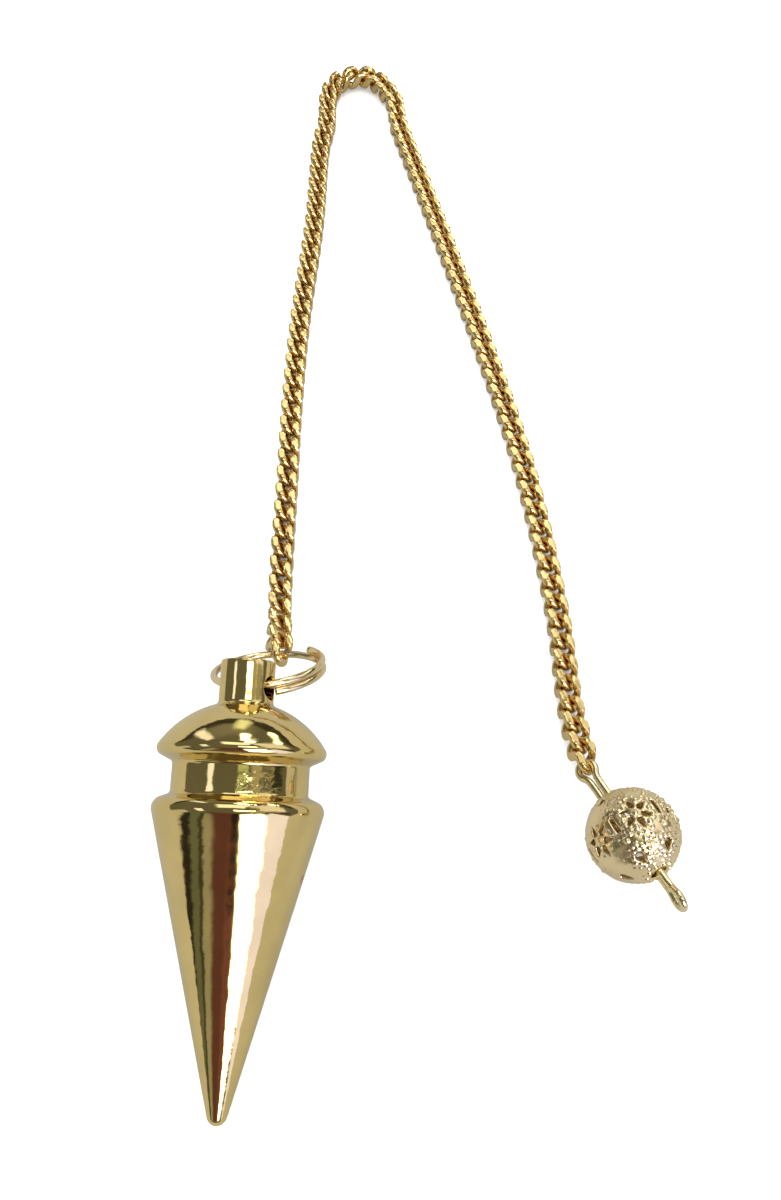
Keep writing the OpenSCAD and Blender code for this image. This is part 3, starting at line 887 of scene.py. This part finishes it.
def bob_gold():
    """The bob's plating: wavy under the polish, with turning marks, a crinkled patch and a nick."""
    mat = gold("bob_plating", BOB_GOLD, 0.06, 0.05, 0.05)
    nodes = mat.node_tree.nodes
    join = mat.node_tree.links.new
    shader = nodes["Principled BSDF"]
    under = shader.inputs["Normal"].links[0].from_socket
    colour = shader.inputs["Base Color"].links[0].from_socket
    coord = nodes.new("ShaderNodeTexCoord")
    place = nodes.new("ShaderNodeMapping")
    place.vector_type = "TEXTURE"
    place.inputs["Location"].default_value = BOB_PLACE.to_translation()
    place.inputs["Rotation"].default_value = BOB_PLACE.to_euler()
    join(coord.outputs["Object"], place.inputs["Vector"])
    own = place.outputs["Vector"]

    def noise(scale, detail, stretch=(1, 1, 1)):
        return noise_value(mat, own, scale, detail, stretch)

    def bump(height, distance, strength=None, last=None):
        node = nodes.new("ShaderNodeBump")
        node.inputs["Distance"].default_value = distance
        node.inputs["Strength"].default_value = 1
        join(height, node.inputs["Height"])
        if strength is not None:
            join(strength, node.inputs["Strength"])
        join(last, node.inputs["Normal"])
        return node.outputs["Normal"]

    def near(spot, inner, outer):
        """One within the inner distance of a spot of the bob, none beyond the outer one."""
        away = nodes.new("ShaderNodeVectorMath")
        away.operation = "DISTANCE"
        away.inputs[1].default_value = [c * MM for c in spot]
        join(own, away.inputs[0])
        fade = nodes.new("ShaderNodeMapRange")
        fade.inputs["From Min"].default_value = outer * MM
        fade.inputs["From Max"].default_value = inner * MM
        join(away.outputs["Value"], fade.inputs["Value"])
        return fade.outputs["Result"]

    waves = bump(noise(WAVE_SCALE, 2), WAVE_HEIGHT, None, under)
    marks = bump(noise(MARK_SCALE, 3, MARK_STRETCH), MARK_HEIGHT, None, waves)
    crinkles = bump(noise(CRINKLE_SCALE, 3), CRINKLE_HEIGHT, near(CRINKLE_SPOT, 1.2, 3.2), marks)
    nick = bump(noise(NICK_SCALE, 2), NICK_HEIGHT, near(NICK_SPOT, 0.25, 0.7), crinkles)
    join(nick, shader.inputs["Normal"])
    stain = nodes.new("ShaderNodeMix")
    stain.data_type = "RGBA"
    stain.inputs["B"].default_value = (*STAIN, 1)
    join(near(NICK_SPOT, 0.1, 0.6), stain.inputs["Factor"])
    join(colour, stain.inputs["A"])
    join(stain.outputs["Result"], shader.inputs["Base Color"])
    return mat


def chain_gold():
    """The links' plating, with painted shade: browner and darker on their inner sides, between the links.
    """
    mat = gold("chain_plating", CHAIN_GOLD, 0.2, 0.5, 0.1)
    nodes = mat.node_tree.nodes
    join = mat.node_tree.links.new
    shader = nodes["Principled BSDF"]
    colour = shader.inputs["Base Color"].links[0].from_socket
    # Painted shade: the inner-side value mixes the plating towards a dark brown
    side = nodes.new("ShaderNodeAttribute")
    side.attribute_name = INNER_SIDE
    tint = nodes.new("ShaderNodeMix")
    tint.data_type = "RGBA"
    tint.inputs["B"].default_value = (*INNER_PAINTED_SHADE, 1)
    join(side.outputs["Fac"], tint.inputs["Factor"])
    join(colour, tint.inputs["A"])
    join(tint.outputs["Result"], shader.inputs["Base Color"])
    return mat


def dress(piece, node, mat):
    """Stands a piece in for a CAD node, on the one body, with its material."""
    piece.data.materials.clear()
    piece.data.materials.append(mat)
    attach(piece, "root")
    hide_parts(node)


dress(make_bob(), "bob", bob_gold())
dress(make_ring(), "split_ring", gold("ring_plating", RING_GOLD, 0.14, 0.5, 0.1))
dress(make_chain(), "chain", chain_gold())
dress(make_pin(), "eye_pin", gold("pin_plating", PIN_GOLD, 0.16, 0.6, 0.1))
dress(make_ball(), "filigree_ball", gold("ball_plating", BALL_GOLD, 0.22, 0.3, 0.1))


# The table, the light and the camera. The metal mirrors a darker table than the camera sees.
TABLE_HALF = 3000
TABLE_ROUGHNESS = 0.9
TABLE_WHITE = (0.9, 0.9, 0.9, 1)
TABLE_MIRRORED = (0.29, 0.29, 0.265, 1)
AIR_STRENGTH = 2.2
LENS = 30
SENSOR = 36
CAMERA_PLACE = (-0.00295, -0.07307, 0.1075)
CAMERA_DOWN = 63.4
CLIP_START = 0.005


def make_floor():
    points = [[x * TABLE_HALF, y * TABLE_HALF, 0] for x, y in ((-1, -1), (1, -1), (1, 1), (-1, 1))]
    floor = mesh_piece("table", points, [[0, 1, 2, 3]])
    mat = bpy.data.materials.new("table_white")
    mat.use_nodes = True
    shader = mat.node_tree.nodes["Principled BSDF"]
    shader.inputs["Base Color"].default_value = TABLE_WHITE
    shader.inputs["Roughness"].default_value = TABLE_ROUGHNESS
    shader.inputs["Specular IOR Level"].default_value = 0.0
    path = mat.node_tree.nodes.new("ShaderNodeLightPath")
    tone = mat.node_tree.nodes.new("ShaderNodeMix")
    tone.data_type = "RGBA"
    tone.inputs["A"].default_value = TABLE_WHITE
    tone.inputs["B"].default_value = TABLE_MIRRORED
    mat.node_tree.links.new(path.outputs["Is Glossy Ray"], tone.inputs["Factor"])
    mat.node_tree.links.new(tone.outputs["Result"], shader.inputs["Base Color"])
    floor.data.materials.append(mat)


# The room's areas, each drawn over those before it: colour, azimuth from +Y towards +X, elevation, half
# width, half height, turn and softness, in degrees
ROOM = [
    ((0.15, 0.145, 0.115), 0, 90, 90, 90, 0, 1),
    ((0.24, 0.235, 0.19), -12, 15, 22, 11, 0, 10),
    ((0.05, 0.047, 0.035), 0, 2, 60, 7, 0, 6),
    ((1.0, 0.98, 1.0), 62, 38, 26, 18, 0, 10),
    ((0.45, 0.43, 0.3), 112, 53, 12, 8, 0, 6),
    ((1.5, 1.55, 1.55), 0, 60, 16, 15, 0, 6),
    ((0.13, 0.055, 0.05), 185, 40, 26, 18, 0, 8),
    ((0.2, 0.08, 0.075), 176, 34, 8, 8, 0, 8),
    ((0.03, 0.02, 0.018), 168, 46, 9, 8, 20, 6),
    ((0.36, 0.36, 0.29), -140, 22, 7, 17, 0, 9),
    ((0.15, 0.165, 0.12), -126, 22, 8, 17, 0, 4),
    ((0.05, 0.06, 0.04), -132, 22, 2, 20, 0, 3),
    ((0.03, 0.027, 0.022), -117, 9, 4, 12, 0, 4),
    ((0.6, 0.6, 0.54), -105, 9, 8, 14, 0, 4),
    ((1.12, 1.13, 1.8), 127, 16, 14, 20, 0, 4),
    ((6.0, 6.2, 6.2), 150, 33, 14, 15, 12, 5),
    ((1.3, 1.35, 1.5), -31, 16, 3.5, 11, -10, 4),
    ((1.3, 1.4, 1.7), -98, 46, 10, 5, 0, 2),
    ((5.0, 5.2, 4.8), 7, 29, 4.5, 4.5, -10, 3),
    ((5.0, 5.2, 4.8), 15, 35, 5, 5, -10, 3),
    ((3.5, 3.8, 3.2), 27, 11, 3.5, 3, -20, 3),
    ((3.5, 3.8, 3.2), 35, 16, 4, 4, -20, 3),
    ((1.1, 1.2, 0.85), 0, 10, 4.5, 8, 10, 6),
    ((4.5, 4.7, 4.4), 110, 73, 4.5, 13, -21, 2),
    ((0.6, 0.7, 0.4), 145, 70, 3, 8, -57, 4),
    ((0.4, 0.38, 0.25), 94, 31, 4, 10, 0, 4),
    ((0.03, 0.04, 0.03), 98, 16, 4, 9, 0, 3),
]


def make_world():
    """White air that lights the table, and the room that polished metal mirrors: dark, with windows."""
    world = bpy.data.worlds.new("room")
    bpy.context.scene.world = world
    world.use_nodes = True
    world.cycles.sampling_method = "NONE"
    nodes = world.node_tree.nodes
    join = world.node_tree.links.new
    room = nodes["Background"]
    coord = nodes.new("ShaderNodeTexCoord")
    colour = None
    for area in ROOM:
        colour = room_area(nodes, join, coord.outputs["Generated"], colour, *area)
    join(colour, room.inputs["Color"])
    air = nodes.new("ShaderNodeBackground")
    air.inputs["Color"].default_value = (1, 1, 1, 1)
    air.inputs["Strength"].default_value = AIR_STRENGTH
    path = nodes.new("ShaderNodeLightPath")
    mix = nodes.new("ShaderNodeMixShader")
    join(path.outputs["Is Glossy Ray"], mix.inputs["Fac"])
    join(air.outputs["Background"], mix.inputs[1])
    join(room.outputs["Background"], mix.inputs[2])
    join(mix.outputs["Shader"], nodes["World Output"].inputs["Surface"])


def room_area(nodes, join, direction, under, colour, azimuth, elevation, half_width, half_height,
              turn, soft):
    """The colour under an area, or the area's own where the direction lies in it."""
    centre = Vector((sin(azimuth) * cos(elevation), cos(azimuth) * cos(elevation), sin(elevation)))
    level = Vector((cos(azimuth), -sin(azimuth), 0))
    upward = level.cross(centre)
    across = level * cos(turn) + upward * sin(turn)
    along = upward * cos(turn) - level * sin(turn)

    def dot(vector):
        node = nodes.new("ShaderNodeVectorMath")
        node.operation = "DOT_PRODUCT"
        node.inputs[1].default_value = vector
        join(direction, node.inputs[0])
        return node.outputs["Value"]

    def within(value, half):
        size = nodes.new("ShaderNodeMath")
        size.operation = "ABSOLUTE"
        join(value, size.inputs[0])
        edge = nodes.new("ShaderNodeMapRange")
        edge.interpolation_type = "SMOOTHSTEP"
        edge.inputs["From Min"].default_value = sin(min(89, half + soft / 2))
        edge.inputs["From Max"].default_value = sin(min(88, max(0.05, half - soft / 2)))
        join(size.outputs["Value"], edge.inputs["Value"])
        return edge.outputs["Result"]

    def times(a, b):
        node = nodes.new("ShaderNodeMath")
        node.operation = "MULTIPLY"
        join(a, node.inputs[0])
        join(b, node.inputs[1])
        return node.outputs["Value"]

    if under is None:
        base = nodes.new("ShaderNodeRGB")
        base.outputs["Color"].default_value = (*colour, 1)
        return base.outputs["Color"]
    front = nodes.new("ShaderNodeMath")
    front.operation = "GREATER_THAN"
    front.inputs[1].default_value = 0
    join(dot(centre), front.inputs[0])
    inside = times(within(dot(across), half_width), within(dot(along), half_height))
    mask = times(inside, front.outputs["Value"])
    mix = nodes.new("ShaderNodeMix")
    mix.data_type = "RGBA"
    mix.inputs["B"].default_value = (*colour, 1)
    join(mask, mix.inputs["Factor"])
    join(under, mix.inputs["A"])
    return mix.outputs["Result"]


def make_camera():
    data = bpy.data.cameras.new("view")
    data.lens = LENS
    data.sensor_width = SENSOR
    data.clip_start = CLIP_START
    camera = bpy.data.objects.new("view", data)
    camera.location = CAMERA_PLACE
    camera.rotation_euler = (math.radians(90 - CAMERA_DOWN), 0, 0)
    bpy.context.scene.collection.objects.link(camera)
    bpy.context.scene.camera = camera


make_floor()
make_world()
make_camera()
bpy.context.scene.view_settings.view_transform = "Standard"
